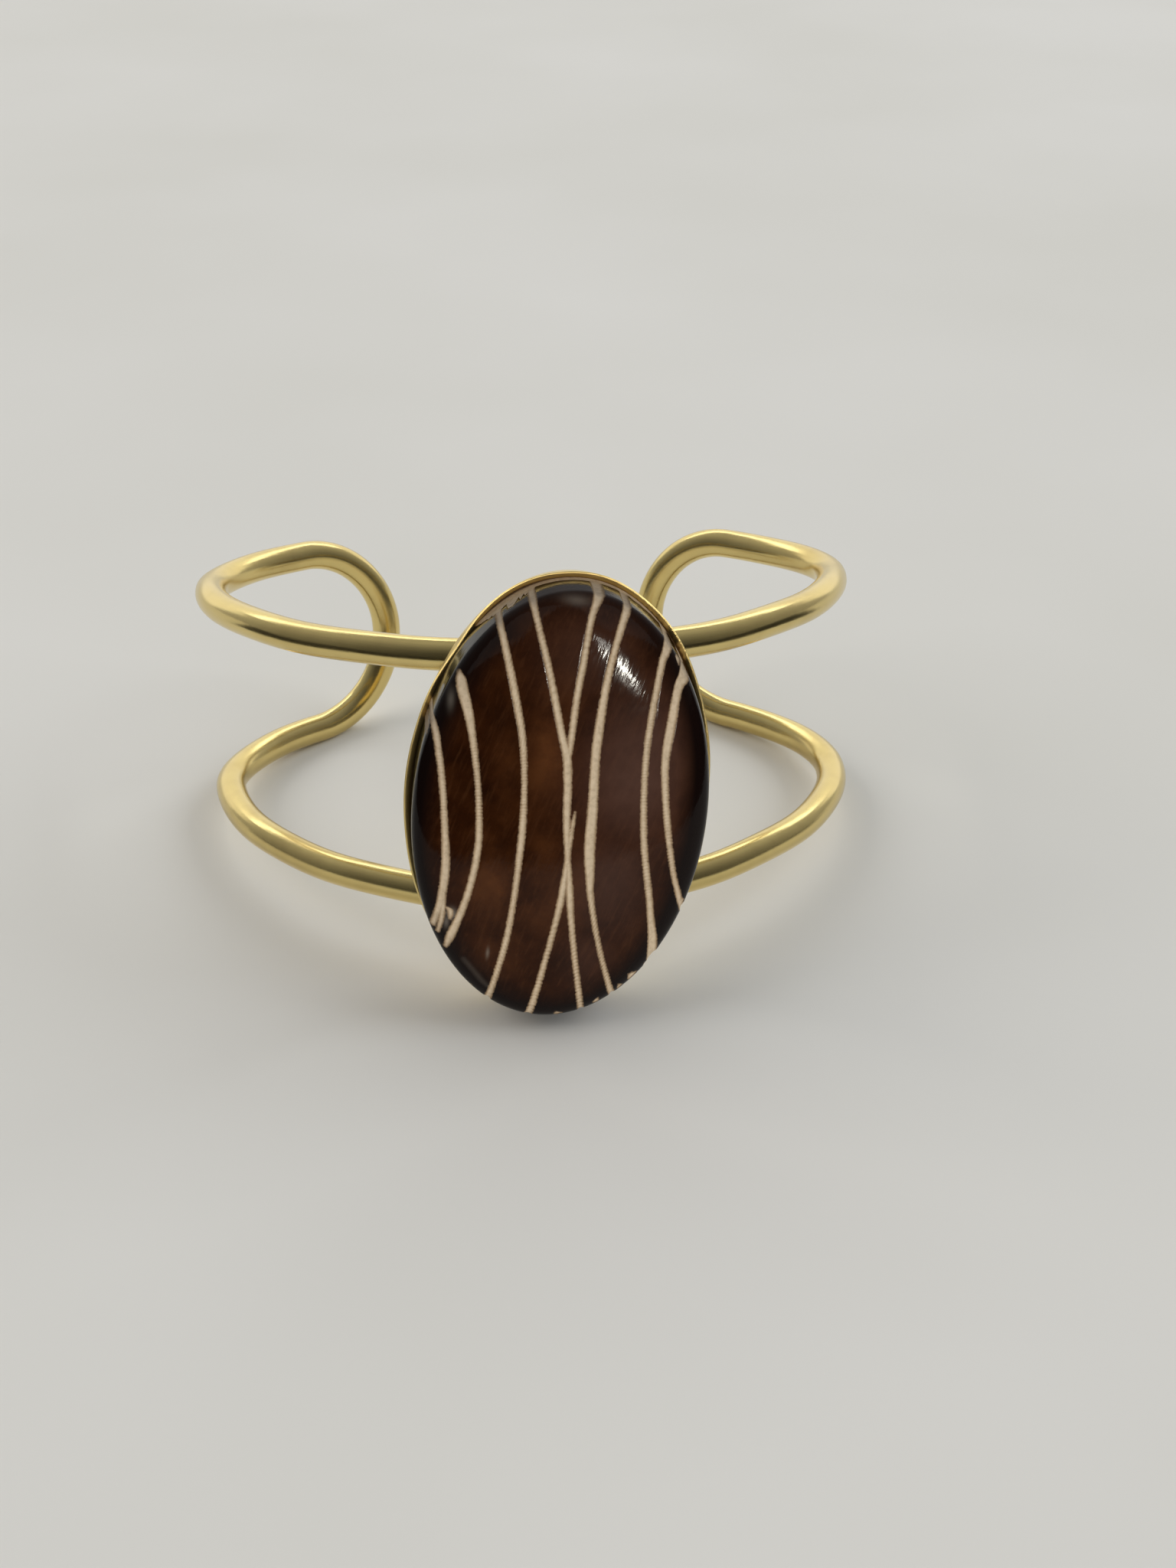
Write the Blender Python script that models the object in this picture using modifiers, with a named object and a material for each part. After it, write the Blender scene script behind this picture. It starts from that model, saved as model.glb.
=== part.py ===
"""Cuff bangle of two brass wires, with a tall oval setting that holds a domed bone stone.

The cuff is modelled as it is worn: X to the right, Y from the stone to the back opening, Z from wire
to wire, with the widest place of the wrist hollow at Y = 0. An empty then leans it on its side, as it
stands on a table: on the lower tip of the setting and on the two bends beside the back opening.
"""
import math

import bmesh
import bpy
import numpy as np
from mathutils import Matrix, Vector
from mathutils.geometry import convex_hull_2d

# Wrist hollow, inside the wires
HOLLOW_WIDTH = 0.0590
HOLLOW_FRONT_DEPTH = 0.0265
HOLLOW_BACK_DEPTH = 0.0206
HOLLOW_CURVE_EXPONENT = 1.82

# Wires
WIRE_DIAMETER = 0.0030
WIRE_SPACING_FRONT = 0.0235
WIRE_SPACING_BACK = 0.0186
LOWER_WIRE_SHIFT = 0.0008
BACK_OPENING = 0.0260

# Setting, a shallow flared cup soldered to the front of the wires; its width and height are the rim's
SETTING_WIDTH = 0.0269
SETTING_HEIGHT = 0.0408
SETTING_DEPTH = 0.0034
SETTING_FLARE = 0.0009
PLATE_THICKNESS = 0.0008
WALL_THICKNESS = 0.0005
SOLDER_SEAT = 0.0004
SETTING_LEAN = math.radians(6.1)
SETTING_SIDE_SHIFT = 0.0006
SETTING_RISE = 0.0004

# Bone stone
STONE_CLEARANCE = 0.0003
STONE_STANDS_PROUD = 0.0034
STONE_DOME_HEIGHT = 0.0030
STONE_SHOULDER_EXPONENT = 2.9
STONE_BOTTOM_CHAMFER = 0.0005

# Fineness of the meshes
WIRE_STEP = 0.0026
WIRE_BEVEL_STEPS = 4
OVAL_SEGMENTS = 80
DOME_STEPS = 10
PLAN_SAMPLES = 4001
SMOOTH_ANGLE = math.radians(35)

WIRE_RADIUS = WIRE_DIAMETER / 2


def empty_the_scene():
    """Removes every object of the file."""
    for item in list(bpy.data.objects):
        bpy.data.objects.remove(item, do_unlink=True)


def new_collection(name):
    """Makes a collection in the scene."""
    collection = bpy.data.collections.new(name)
    bpy.context.scene.collection.children.link(collection)
    return collection


def metal_or_bone(name, colour, metallic, roughness):
    """A Principled BSDF material."""
    material = bpy.data.materials.new(name)
    material.use_nodes = True
    shader = material.node_tree.nodes["Principled BSDF"]
    shader.inputs["Base Color"].default_value = (*colour, 1.0)
    shader.inputs["Metallic"].default_value = metallic
    shader.inputs["Roughness"].default_value = roughness
    material.diffuse_color = (*colour, 1.0)
    return material


def signed_power(value, power):
    """The power of a value's size, with the value's sign."""
    return np.sign(value) * np.abs(value) ** power


def plan_of_the_wires():
    """The wires' middle line seen from above: lengths along it from the front, and its X and Y."""
    turn = np.linspace(-math.pi, math.pi, PLAN_SAMPLES)
    power = 2 / HOLLOW_CURVE_EXPONENT
    depth = np.where(np.cos(turn) > 0, HOLLOW_FRONT_DEPTH, HOLLOW_BACK_DEPTH) + WIRE_RADIUS
    x = (HOLLOW_WIDTH / 2 + WIRE_RADIUS) * signed_power(np.sin(turn), power)
    y = -depth * signed_power(np.cos(turn), power)
    steps = np.hypot(np.diff(x), np.diff(y))
    length = np.concatenate([[0.0], np.cumsum(steps)])
    return length - length[-1] / 2, x, y


def half_spacing(y):
    """Half the height between the wires' middle lines, which draw together towards the back."""
    ends = (-HOLLOW_FRONT_DEPTH - WIRE_RADIUS, HOLLOW_BACK_DEPTH + WIRE_RADIUS)
    return np.interp(y, ends, (WIRE_SPACING_FRONT / 2, WIRE_SPACING_BACK / 2))


def wire_route():
    """Points of the one closed loop: upper wire, right bend, lower wire, left bend."""
    length, x, y = plan_of_the_wires()
    behind = (y > 0) & (x > 0)
    tip_x = BACK_OPENING / 2 + WIRE_RADIUS
    tip = np.interp(-tip_x, -x[behind], length[behind])
    bend_start = np.interp(tip, length[behind] + half_spacing(y[behind]), length[behind])
    bend_radius = float(half_spacing(np.interp(bend_start, length, y)))
    straight = np.linspace(-bend_start, bend_start, round(2 * bend_start / WIRE_STEP) + 1)
    height = half_spacing(np.interp(straight, length, y))
    turn = np.linspace(0, math.pi, round(math.pi * bend_radius / WIRE_STEP) + 1)[1:-1]
    bend = bend_start + bend_radius * np.sin(turn)
    along = np.concatenate([straight, bend, straight[::-1], -bend])
    z = np.concatenate([height, bend_radius * np.cos(turn), -height[::-1], -bend_radius * np.cos(turn)])
    shear = -LOWER_WIRE_SHIFT / WIRE_SPACING_FRONT
    return np.column_stack([np.interp(along, length, x) + shear * z, np.interp(along, length, y), z])


def add_object(name, data, collection, material=None, parent=None):
    """Links a new object with its data, material and parent."""
    item = bpy.data.objects.new(name, data)
    collection.objects.link(item)
    item.parent = parent
    if material:
        data.materials.append(material)
    return item


def wire_mesh(name, collection):
    """The bent wire as a closed tube."""
    points = wire_route()
    curve = bpy.data.curves.new(name + "_curve", "CURVE")
    curve.dimensions = "3D"
    curve.bevel_depth = WIRE_RADIUS
    curve.bevel_resolution = WIRE_BEVEL_STEPS
    spline = curve.splines.new("POLY")
    spline.points.add(len(points) - 1)
    spline.points.foreach_set("co", np.column_stack([points, np.ones(len(points))]).ravel())
    spline.use_cyclic_u = True
    guide = add_object(name + "_curve", curve, collection)
    bpy.context.view_layer.update()
    mesh = bpy.data.meshes.new_from_object(guide.evaluated_get(bpy.context.evaluated_depsgraph_get()))
    bpy.data.objects.remove(guide, do_unlink=True)
    shape = bmesh.new()
    shape.from_mesh(mesh)
    bmesh.ops.remove_doubles(shape, verts=shape.verts, dist=0.00001)
    bmesh.ops.recalc_face_normals(shape, faces=shape.faces)
    shape.to_mesh(mesh)
    shape.free()
    mesh.name = name
    return mesh


def cup_size(level, inset):
    """Width and height of the cup's outline at a level above the plate's back, less an inset all round."""
    drawn_in = inset + SETTING_FLARE * (1 - level / SETTING_DEPTH)
    return SETTING_WIDTH - 2 * drawn_in, SETTING_HEIGHT - 2 * drawn_in


def flared_oval(name, bottom_level, top_level, inset):
    """An oval block between two levels of the cup, which follows its flare; its bottom lies at Z = 0."""
    shape = bmesh.new()
    bmesh.ops.create_cone(
        shape, cap_ends=True, segments=OVAL_SEGMENTS, radius1=0.5, radius2=0.5, depth=1,
        matrix=Matrix.Translation((0, 0, 0.5)))
    sizes = {0: cup_size(bottom_level, inset), 1: cup_size(top_level, inset)}
    for corner in shape.verts:
        width, height = sizes[round(corner.co.z)]
        corner.co = (corner.co.x * width, corner.co.y * height, corner.co.z * (top_level - bottom_level))
    mesh = bpy.data.meshes.new(name)
    shape.to_mesh(mesh)
    shape.free()
    return mesh


def shade_round(mesh):
    """Smooth shading that keeps the sharp edges."""
    mesh.shade_smooth()
    mesh.set_sharp_from_angle(angle=SMOOTH_ANGLE)


def place_at_the_front(item, outward):
    """Turns an upright piece to face the front, leans it, and sets it off the plate's back by a depth."""
    plate_back = -HOLLOW_FRONT_DEPTH - WIRE_DIAMETER + SOLDER_SEAT
    item.rotation_euler = (math.pi / 2, SETTING_LEAN, 0)
    item.location = (SETTING_SIDE_SHIFT, plate_back - outward, SETTING_RISE)


def add_boolean(item, other, operation):
    """Joins or cuts an object with another, exactly."""
    modifier = item.modifiers.new(operation.title() + "_" + other.name, "BOOLEAN")
    modifier.operation = operation
    modifier.object = other
    modifier.solver = "EXACT"


def build_brass_cuff(parts, tools, carrier, brass):
    """Wires with the setting soldered on: one solid."""
    cuff = add_object("brass_cuff", wire_mesh("brass_cuff", tools), parts, brass, carrier)
    body = flared_oval("setting_body", 0, SETTING_DEPTH, 0)
    setting = add_object("setting_body", body, tools, brass, carrier)
    place_at_the_front(setting, 0)
    hollow = flared_oval("setting_hollow", PLATE_THICKNESS, SETTING_DEPTH + PLATE_THICKNESS, WALL_THICKNESS)
    cutter = add_object("setting_hollow", hollow, tools, brass, carrier)
    place_at_the_front(cutter, PLATE_THICKNESS)
    add_boolean(cuff, setting, "UNION")
    add_boolean(cuff, cutter, "DIFFERENCE")
    for tool in (setting, cutter):
        tool.hide_render = True
        tool.display_type = "WIRE"
    shade_round(cuff.data)
    shade_round(body)
    shade_round(hollow)
    return cuff


def stone_profile(radius, bottom_radius):
    """The stone's outer side from the crown down over the shoulder to its bottom, as radius and height."""
    rim_level = SETTING_DEPTH - PLATE_THICKNESS - STONE_CLEARANCE
    side_top = rim_level + STONE_STANDS_PROUD
    turn = np.linspace(math.pi / 2, 0, DOME_STEPS + 1)
    across = radius * signed_power(np.cos(turn), 2 / STONE_SHOULDER_EXPONENT)
    height = side_top + STONE_DOME_HEIGHT * signed_power(np.sin(turn), 2 / STONE_SHOULDER_EXPONENT)
    dome = list(zip(across, height))
    dome[0] = (0.0, side_top + STONE_DOME_HEIGHT)
    chamfer = STONE_BOTTOM_CHAMFER
    return dome + [(radius, rim_level), (bottom_radius, chamfer), (bottom_radius - chamfer, 0.0), (0.0, 0.0)]


def build_bone_stone(parts, carrier, bone):
    """The stone: a profile turned about its crown, drawn out to an oval."""
    inset = WALL_THICKNESS + STONE_CLEARANCE
    width, height = cup_size(SETTING_DEPTH, inset)
    bottom_width, _ = cup_size(PLATE_THICKNESS + STONE_CLEARANCE, inset)
    profile = stone_profile(width / 2, bottom_width / 2)
    mesh = bpy.data.meshes.new("bone_stone")
    edges = [(i, i + 1) for i in range(len(profile) - 1)]
    mesh.from_pydata([(r, 0, h) for r, h in profile], edges, [])
    stone = add_object("bone_stone", mesh, parts, bone, carrier)
    stone.scale = (1, height / width, 1)
    place_at_the_front(stone, PLATE_THICKNESS + STONE_CLEARANCE)
    turned = stone.modifiers.new("Turned", "SCREW")
    turned.axis = "Z"
    turned.angle = 2 * math.pi
    turned.steps = OVAL_SEGMENTS
    turned.render_steps = OVAL_SEGMENTS
    turned.use_merge_vertices = True
    turned.merge_threshold = 0.00001
    turned.use_smooth_shade = True
    return stone


def world_points(items):
    """Every corner of the finished meshes, in the world."""
    bpy.context.view_layer.update()
    graph = bpy.context.evaluated_depsgraph_get()
    found = []
    for item in items:
        evaluated = item.evaluated_get(graph)
        mesh = evaluated.to_mesh()
        found += [item.matrix_world @ vertex.co for vertex in mesh.vertices]
        evaluated.to_mesh_clear()
    return np.array(found)


def stand_on_its_side(carrier, items):
    """Leans the cuff onto the setting's tip and the back bends, over the middle of the ground."""
    side_view = [Vector((y, z)) for _, y, z in world_points(items)]
    middle = sum(point.x for point in (min(side_view), max(side_view))) / 2
    ring = [side_view[i] for i in convex_hull_2d(side_view)]
    for front, back in zip(ring, ring[1:] + ring[:1]):
        if front.x < middle <= back.x:
            carrier.rotation_euler.x = -math.atan2(back.y - front.y, back.x - front.x)
    corners = world_points(items)
    low, high = corners.min(axis=0), corners.max(axis=0)
    carrier.location = (-(low[0] + high[0]) / 2, -(low[1] + high[1]) / 2, -low[2])


empty_the_scene()
bangle_collection = new_collection("cuff_bangle")
tools_collection = new_collection("cutters")
brass_material = metal_or_bone("brass", (0.72, 0.56, 0.27), 1.0, 0.28)
bone_material = metal_or_bone("dyed_bone", (0.035, 0.018, 0.013), 0.0, 0.22)

rest = bpy.data.objects.new("rest_on_its_side", None)
bangle_collection.objects.link(rest)
brass_cuff = build_brass_cuff(bangle_collection, tools_collection, rest, brass_material)
bone_stone = build_bone_stone(bangle_collection, rest, bone_material)
stand_on_its_side(rest, [brass_cuff, bone_stone])
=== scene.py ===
"""Open cuff bangle: two parallel brass wires, and on their front a tall oval brass setting with a
domed stone of dark dyed bone, cut with pale stripes. It lies on its side on a pale table.
"""
import math

import bpy
import numpy as np
from mathutils import Matrix, Vector
from mathutils.kdtree import KDTree


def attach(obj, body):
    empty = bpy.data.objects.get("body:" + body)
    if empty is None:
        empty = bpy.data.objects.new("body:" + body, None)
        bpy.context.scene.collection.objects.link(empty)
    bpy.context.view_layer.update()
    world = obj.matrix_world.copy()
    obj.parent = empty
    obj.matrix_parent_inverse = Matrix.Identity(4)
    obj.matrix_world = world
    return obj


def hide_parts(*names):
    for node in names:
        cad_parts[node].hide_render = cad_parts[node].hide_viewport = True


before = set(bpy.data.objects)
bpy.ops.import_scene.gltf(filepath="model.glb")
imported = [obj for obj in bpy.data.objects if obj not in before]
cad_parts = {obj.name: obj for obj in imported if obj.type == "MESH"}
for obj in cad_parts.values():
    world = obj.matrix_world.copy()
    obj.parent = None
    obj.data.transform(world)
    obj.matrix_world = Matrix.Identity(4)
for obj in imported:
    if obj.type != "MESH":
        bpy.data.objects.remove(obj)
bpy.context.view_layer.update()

# The two wires
# The real ones are a single length of round brass rod, bent by hand into an upper and a lower wire
# with a plain bend at each side of the opening behind, and polished along their length; wear has
# left fine streaks and a thin brown tarnish. They carry the setting, which is soldered on in front.
WIRE_RADIUS = 0.00149
WIRE_SPACING = {"front": 0.0235, "back": 0.0186}
LOWER_WIRE_SHIFT = 0.0008
HOLLOW_WIDTH, HOLLOW_FRONT_DEPTH, HOLLOW_BACK_DEPTH = 0.0590, 0.0265, 0.0206
HOLLOW_ROUNDNESS = 1.82
BACK_OPENING = 0.0260
ROD_RADIUS = 0.0015
WIRE_STEP = 0.0007
WIRE_SIDES = 36
HOLLOW_STEPS = 4001
HAND_WAVER = 0.00006
STREAK_STRETCH = 0.04
GOLD, TARNISH_AND_SHADE_BROWN = (0.77, 0.61, 0.25), (0.34, 0.21, 0.07)
# Lumps to the metre, and the relief they stand to, of the brass's swells, specks and rubbed streaks
SWELL_LUMPS, SWELL_RELIEF = 210.0, 0.0006
SPECK_LUMPS, SPECK_RELIEF = 2200.0, 0.00008
STREAK_LUMPS, STREAK_RELIEF = 7000.0, 0.00003
# How much the tarnish, the streaks, and the dirt and painted shade dull the polish
TARNISH_DULLS, STREAKS_DULL, GRIME_AND_SHADE_DULLS = 0.12, 0.10, 0.35
MIDDLE_DULLING = 0.10
# Each piece is made as the cuff is worn: X to the right, Y from the stone to the back opening, Z from
# wire to wire, Y = 0 at the widest place. Then it is leaned over, as the real one comes to rest on the
# setting's lower tip and on the two bends at the back.
LEAN_ON_ITS_SIDE = math.radians(-10.6558)
HOLLOW_CENTRE_ON_THE_TABLE = (0.0, 0.009988, 0.013581)
as_it_lies = Matrix.Translation(HOLLOW_CENTRE_ON_THE_TABLE) @ Matrix.Rotation(LEAN_ON_ITS_SIDE, 4, "X")


def mark(mesh, name, values):
    """Keeps a number or a place for each of the mesh's points, for its material to read."""
    values = np.asarray(values, dtype=np.float32)
    if values.ndim == 2:
        mesh.attributes.new(name, "FLOAT_VECTOR", "POINT").data.foreach_set("vector", values.ravel())
    else:
        mesh.attributes.new(name, "FLOAT", "POINT").data.foreach_set("value", values)


def lay_down(name, points, faces, material, **marks):
    """Makes a piece from points of the worn cuff, smooth all over, and lays it where its solid lies."""
    mesh = bpy.data.meshes.new(name)
    mesh.from_pydata(np.asarray(points).tolist(), [], faces)
    mark(mesh, "as_worn", points)
    for label, values in marks.items():
        mark(mesh, label, values)
    mesh.transform(as_it_lies)
    mesh.shade_smooth()
    mesh.materials.append(material)
    piece = bpy.data.objects.new(name, mesh)
    bpy.context.scene.collection.objects.link(piece)
    return piece


def wire_route():
    """The closed loop of the rod's middle line: upper wire, right bend, lower wire, left bend."""
    turn = np.linspace(-math.pi, math.pi, HOLLOW_STEPS)
    depth = np.where(np.cos(turn) > 0, HOLLOW_FRONT_DEPTH, HOLLOW_BACK_DEPTH) + ROD_RADIUS
    power = 2 / HOLLOW_ROUNDNESS
    x = (HOLLOW_WIDTH / 2 + ROD_RADIUS) * np.sign(np.sin(turn)) * np.abs(np.sin(turn)) ** power
    y = -depth * np.sign(np.cos(turn)) * np.abs(np.cos(turn)) ** power
    length = np.concatenate([[0.0], np.cumsum(np.hypot(np.diff(x), np.diff(y)))])
    length -= length[-1] / 2

    def half_spacing(place):
        return np.interp(place, (-HOLLOW_FRONT_DEPTH - ROD_RADIUS, HOLLOW_BACK_DEPTH + ROD_RADIUS),
                         (WIRE_SPACING["front"] / 2, WIRE_SPACING["back"] / 2))

    behind = (y > 0) & (x > 0)
    tip = np.interp(-BACK_OPENING / 2 - ROD_RADIUS, -x[behind], length[behind])
    bend_start = np.interp(tip, length[behind] + half_spacing(y[behind]), length[behind])
    bend_radius = float(half_spacing(np.interp(bend_start, length, y)))
    straight = np.linspace(-bend_start, bend_start, round(2 * bend_start / WIRE_STEP) + 1)
    height = half_spacing(np.interp(straight, length, y))
    turn = np.linspace(0, math.pi, round(math.pi * bend_radius / WIRE_STEP) + 1)[1:-1]
    bend = bend_start + bend_radius * np.sin(turn)
    along = np.concatenate([straight, bend, straight[::-1], -bend])
    z = np.concatenate([height, bend_radius * np.cos(turn), -height[::-1], -bend_radius * np.cos(turn)])
    shear = -LOWER_WIRE_SHIFT / WIRE_SPACING["front"]
    route = np.column_stack([np.interp(along, length, x) + shear * z, np.interp(along, length, y), z])
    place = np.linspace(0, 2 * math.pi, len(route), endpoint=False)[:, None]
    long_waves = np.sin(9 * place + (0.3, 2.1, 4.0))
    short_waves = np.sin(23 * place + (1.2, 0.4, 5.1))
    return route + HAND_WAVER * (long_waves + 0.6 * short_waves)


def sweep_round(route, radius, sides):
    """Sweeps a circle along a closed route without twist: points, faces, and places for the streaks."""
    ahead = np.roll(route, -1, axis=0) - np.roll(route, 1, axis=0)
    ahead /= np.linalg.norm(ahead, axis=1)[:, None]
    side = np.zeros_like(route)
    side[0] = (0, 0, 1)
    for i in range(len(route)):
        before = side[i - 1] if i else side[0]
        side[i] = before - ahead[i] * (before @ ahead[i])
        side[i] /= np.linalg.norm(side[i])
    home = side[-1] - ahead[0] * (side[-1] @ ahead[0])
    left_over = math.atan2(np.cross(home, side[0]) @ ahead[0], home @ side[0])
    share = np.arange(len(route)) / len(route)
    column = np.linspace(0, 2 * math.pi, sides, endpoint=False)
    turn = share[:, None] * left_over + column
    other = np.cross(ahead, side)
    out = np.cos(turn)[..., None] * side[:, None] + np.sin(turn)[..., None] * other[:, None]
    points = (route[:, None] + radius * out).reshape(-1, 3)
    streaks = radius * np.column_stack([np.cos(column), np.sin(column), 0 * column])
    streaks = (streaks + STREAK_STRETCH * route[:, None]).reshape(-1, 3)
    faces = []
    for i in range(len(route)):
        j = (i + 1) % len(route)
        for k in range(sides):
            m = (k + 1) % sides
            faces.append((i * sides + k, j * sides + k, j * sides + m, i * sides + m))
    return points, faces, streaks


def add_node(material, kind, settings=None, **inputs):
    """Adds a node; an input is a value, or another node's output to link. i0, i1, i2 are by number."""
    made = material.node_tree.nodes.new(kind)
    for setting, value in (settings or {}).items():
        setattr(made, setting, value)
    for socket, value in inputs.items():
        if socket[1:].isdigit():
            target = made.inputs[int(socket[1:])]
        else:
            target = made.inputs[socket.replace("_", " ")]
        if isinstance(value, bpy.types.NodeSocket):
            material.node_tree.links.new(value, target)
        else:
            target.default_value = value
    return made


def marked(material, name, output="Fac"):
    """What a mesh keeps under a name: a number, or with output Vector a place."""
    return add_node(material, "ShaderNodeAttribute", {"attribute_name": name}).outputs[output]


def shades(material, value, stops):
    """Turns a value into greys or colours, between stops of place and shade."""
    made = add_node(material, "ShaderNodeValToRGB", i0=value)
    while len(made.color_ramp.elements) < len(stops):
        made.color_ramp.elements.new(0.5)
    for element, (place, shade) in zip(made.color_ramp.elements, stops):
        element.position = place
        element.color = (*shade, 1.0) if isinstance(shade, tuple) else (shade, shade, shade, 1.0)
    return made.outputs[0]


def clouds(material, where, lumps, detail=3.0, roughness=0.5):
    """Noise of so many lumps to the metre."""
    made = add_node(material, "ShaderNodeTexNoise", Vector=where, Scale=lumps, Detail=detail,
                    Roughness=roughness)
    return made.outputs[0]


def reckon(material, operation, first, second=0.0, third=0.0):
    """One sum on two or three values."""
    made = add_node(material, "ShaderNodeMath", {"operation": operation}, i0=first, i1=second, i2=third)
    return made.outputs[0]


def blend_colours(material, share, first, second, way="MIX"):
    """The first colour, and as the share grows, the second."""
    made = material.node_tree.nodes.new("ShaderNodeMix")
    made.data_type = "RGBA"
    made.blend_type = way
    for place, value in ((0, share), (6, first), (7, second)):
        if isinstance(value, bpy.types.NodeSocket):
            material.node_tree.links.new(value, made.inputs[place])
        else:
            made.inputs[place].default_value = (*value, 1.0) if isinstance(value, tuple) else value
    return made.outputs[2]


def raise_up(material, height, strength, distance, under=None):
    """Small relief on the surface, over another relief where one is given."""
    made = add_node(material, "ShaderNodeBump", Strength=strength, Distance=distance, Height=height)
    if under:
        material.node_tree.links.new(under, made.inputs["Normal"])
    return made.outputs[0]


def brass(name, roughness, tarnish_lumps, tarnish_share, streak_depth):
    """Worn, polished brass: brown tarnish in patches, dirt and painted shade where marked, fine streaks
    from rubbing.
    """
    material = bpy.data.materials.new(name)
    material.use_nodes = True
    shader = material.node_tree.nodes["Principled BSDF"]
    shader.inputs["Metallic"].default_value = 1.0
    links = material.node_tree.links
    where = marked(material, "as_worn", "Vector")
    patches = clouds(material, where, tarnish_lumps, 4.0, 0.6)
    # Dirt and painted shade: the marked places, the cup's seam, inner crown, inside and floor, turn brown
    # and dull where shade falls.
    grime = marked(material, "grime")
    tarnish = shades(material, patches, [(0.45, 0.0), (0.80, tarnish_share)])
    brown = reckon(material, "MINIMUM", reckon(material, "ADD", tarnish, grime), 1.0)
    links.new(blend_colours(material, brown, GOLD, TARNISH_AND_SHADE_BROWN), shader.inputs["Base Color"])
    swells = clouds(material, where, SWELL_LUMPS, 2.0)
    specks = clouds(material, where, SPECK_LUMPS, 3.0, 0.6)
    streaks = clouds(material, marked(material, "streaks", "Vector"), STREAK_LUMPS, 4.0, 0.65)
    dull = reckon(material, "MULTIPLY_ADD", patches, TARNISH_DULLS, roughness - MIDDLE_DULLING)
    dull = reckon(material, "MULTIPLY_ADD", streaks, STREAKS_DULL, dull)
    dull = reckon(material, "MULTIPLY_ADD", grime, GRIME_AND_SHADE_DULLS, dull)
    links.new(dull, shader.inputs["Roughness"])
    relief = raise_up(material, swells, 0.06, SWELL_RELIEF)
    relief = raise_up(material, specks, 0.04, SPECK_RELIEF, relief)
    relief = raise_up(material, streaks, streak_depth, STREAK_RELIEF, relief)
    links.new(relief, shader.inputs["Normal"])
    return material


wire_points, wire_faces, wire_streaks = sweep_round(wire_route(), WIRE_RADIUS, WIRE_SIDES)
wire_brass = brass("wire_brass", roughness=0.20, tarnish_lumps=110.0, tarnish_share=0.35, streak_depth=0.25)
cuff_wires = lay_down("cuff_wires", wire_points, wire_faces, wire_brass, streaks=wire_streaks,
                      grime=np.zeros(len(wire_points)))
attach(cuff_wires, "root")
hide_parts("brass_cuff")

# The setting
# The real setting is a shallow oval cup: a flat plate with a thin strip of brass soldered upright
# round it, which flares a little. The strip's edge was filed round by hand, so it wavers, has small
# nicks, and is pressed in over the stone at the upper left.
RIM_WIDTH, RIM_HEIGHT = 0.0269, 0.0408
CUP_DEPTH = 0.0034
CUP_FLARE = 0.0009
PLATE_THICKNESS = 0.0008
WALL_THICKNESS = 0.00048
EDGE_ROUNDING = 0.00014
PLATE_ROUNDING = 0.00009
SETTING_LEAN = math.radians(6.1)
SETTING_SIDE_SHIFT = 0.0006
SETTING_RISE = 0.0004
PLATE_BACK = -0.0291
RIM_STEPS = 720
# The wavers of the strip's side, edge and thickness: each wave's height, count to the turn, and start
SIDE_WAVES = ((0.00004, 5, 0.6), (0.00003, 11, 2.0))
EDGE_WAVES = ((0.00005, 3, 1.0), (0.00003, 8, 0.0))
THICKNESS_WAVES = ((0.00005, 4, 2.2),)
# Each group of nicks: its place in degrees, its spread and its strength
NICKS = ((62, 9, 1.0), (45, 7, 1.0), (22, 6, 0.7))
NICKS_TO_THE_TURN = 150
NICK_DEPTH = 0.00006
PRESSED_IN, PRESSED_IN_AT, PRESSED_IN_SPREAD = 0.00042, 141, 11
# The section's rows: insets on the back, shares up the side, degrees round the outer edge
BACK_INSETS = (0.0030, 0.0012, 0.0004, PLATE_ROUNDING)
SIDE_SHARES = (0.03, 0.25, 0.5, 0.75, 0.97)
EDGE_DEGREES = (0, 22, 45, 68, 90)
# Rows over the strip's crown to its inside: how far below it, share of the thickness, step back, dirt and
# painted shade
CROWN_ROWS = ((0.00003, 0.50, 0.0, 0.03), (0.00008, 0.76, 0.0, 0.15), (0.00014, 1.0, 0.00003, 0.4),
              (0.00024, 1.0, 0.0, 0.8))
INSIDE_SHARES = (0.75, 0.4, 0.05)
FLOOR_INSETS = (0.00012, 0.002)


def face_the_front(across, up, out):
    """Places of the worn cuff for places on the setting: across it, up it, and out from its back."""
    x = SETTING_SIDE_SHIFT + math.cos(SETTING_LEAN) * across + math.sin(SETTING_LEAN) * up
    z = SETTING_RISE - math.sin(SETTING_LEAN) * across + math.cos(SETTING_LEAN) * up
    return np.stack([x, PLATE_BACK - out, z], axis=-1)


def near(turn, degrees, spread):
    """A soft hump, 1 high, round one place of the oval; places are counted from the right, upwards."""
    away = (np.degrees(turn) - degrees + 180) % 360 - 180
    return np.exp(-((away / spread) ** 2))


def oval(turn, level, inset):
    """The cup's outline at a level above the plate's back, less an inset square to the outline."""
    drawn_in = CUP_FLARE * (1 - level / CUP_DEPTH)
    half_width, half_height = RIM_WIDTH / 2 - drawn_in, RIM_HEIGHT / 2 - drawn_in
    slope = np.stack([np.cos(turn) * half_height, np.sin(turn) * half_width], axis=-1)
    slope /= np.linalg.norm(slope, axis=-1)[..., None]
    across = half_width * np.cos(turn) - inset * slope[..., 0]
    up = half_height * np.sin(turn) - inset * slope[..., 1]
    return across, up


def waves_round(turn, waves):
    """The waver that some waves make together, at each place round the oval."""
    return sum(height * np.sin(count * turn + start) for height, count, start in waves)


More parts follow.
